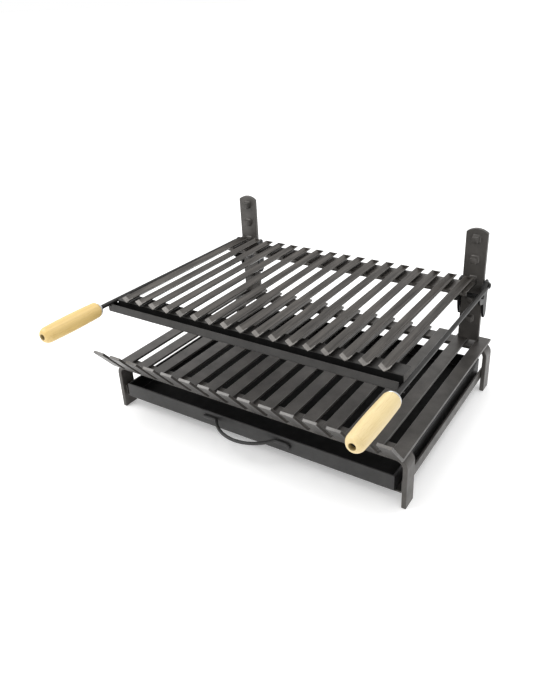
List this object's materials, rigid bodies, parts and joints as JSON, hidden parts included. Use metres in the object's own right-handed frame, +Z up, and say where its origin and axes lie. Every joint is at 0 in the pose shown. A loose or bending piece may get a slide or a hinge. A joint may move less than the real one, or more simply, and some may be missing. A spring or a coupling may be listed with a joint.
{
  "type": "hibachi grill",
  "caption": "Hibachi charcoal grill: slatted grate with upturned fingers on leg frames, ash drawer below, V-channel cooking grill on pegged uprights, wooden grips.",
  "frame": {"origin": "on the floor under the middle of the bounding box", "axes": "+Z up; -Y is the front, where the grips and the drawer handle are; +X to the right seen from the front"},
  "size_m": [0.6029, 0.572, 0.326],
  "materials": {
    "grate_steel": "satin dark warm-grey heat-resistant coating",
    "drawer_steel": "satin dark coating",
    "carrier_steel": "satin near-black coating",
    "grill_steel": "satin dark warm-grey coating",
    "zinc": "bright zinc plating",
    "wood": "pale turned hardwood, sanded"
  },
  "bodies": {
    "base": {"front_leg_frame": "grate_steel", "rear_leg_frame": "grate_steel", "grate_slat_01": "grate_steel", "grate_slat_02": "grate_steel", "grate_slat_03": "grate_steel", "grate_slat_04": "grate_steel", "grate_slat_05": "grate_steel", "grate_slat_06": "grate_steel", "grate_slat_07": "grate_steel", "grate_slat_08": "grate_steel", "grate_slat_09": "grate_steel", "grate_slat_10": "grate_steel", "grate_slat_11": "grate_steel", "grate_slat_12": "grate_steel", "grate_slat_13": "grate_steel", "grate_slat_14": "grate_steel", "grate_slat_15": "grate_steel", "left_drawer_rail": "grate_steel", "right_drawer_rail": "grate_steel", "left_upright": "grate_steel", "right_upright": "grate_steel"},
    "drawer": {"ash_drawer": "drawer_steel", "drawer_handle": "drawer_steel"},
    "carriage": {"left_carrier": "carrier_steel", "right_carrier": "carrier_steel", "left_cross_pin": "carrier_steel", "right_cross_pin": "carrier_steel", "left_pivot_bolt": "carrier_steel", "right_pivot_bolt": "carrier_steel"},
    "grill": {"grill_bar_01": "grill_steel", "grill_bar_02": "grill_steel", "grill_bar_03": "grill_steel", "grill_bar_04": "grill_steel", "grill_bar_05": "grill_steel", "grill_bar_06": "grill_steel", "grill_bar_07": "grill_steel", "grill_bar_08": "grill_steel", "grill_bar_09": "grill_steel", "grill_bar_10": "grill_steel", "grill_bar_11": "grill_steel", "grill_bar_12": "grill_steel", "grill_bar_13": "grill_steel", "grill_bar_14": "grill_steel", "grill_bar_15": "grill_steel", "grill_bar_16": "grill_steel", "grill_bar_17": "grill_steel", "rear_crossbar": "grill_steel", "grease_gutter": "grill_steel", "left_grill_arm": "grill_steel", "right_grill_arm": "grill_steel", "left_wooden_grip": "wood", "right_wooden_grip": "wood", "left_ferrule": "zinc", "right_ferrule": "zinc"}
  },
  "joints": [
    {"name": "drawer_slide", "type": "slide", "parent": "base", "child": "drawer", "axis": [0, -1, 0], "range_m": [0, 0.3]},
    {"name": "grill_height", "type": "slide", "parent": "base", "child": "carriage", "axis": [0, 0, 1], "range_m": [-0.04, 0.12]},
    {"name": "grill_tilt", "type": "hinge", "parent": "carriage", "child": "grill", "pos_m": [0, 0.261, 0.221], "axis": [-1, 0, 0], "range_deg": [0, 30]}
  ]
}
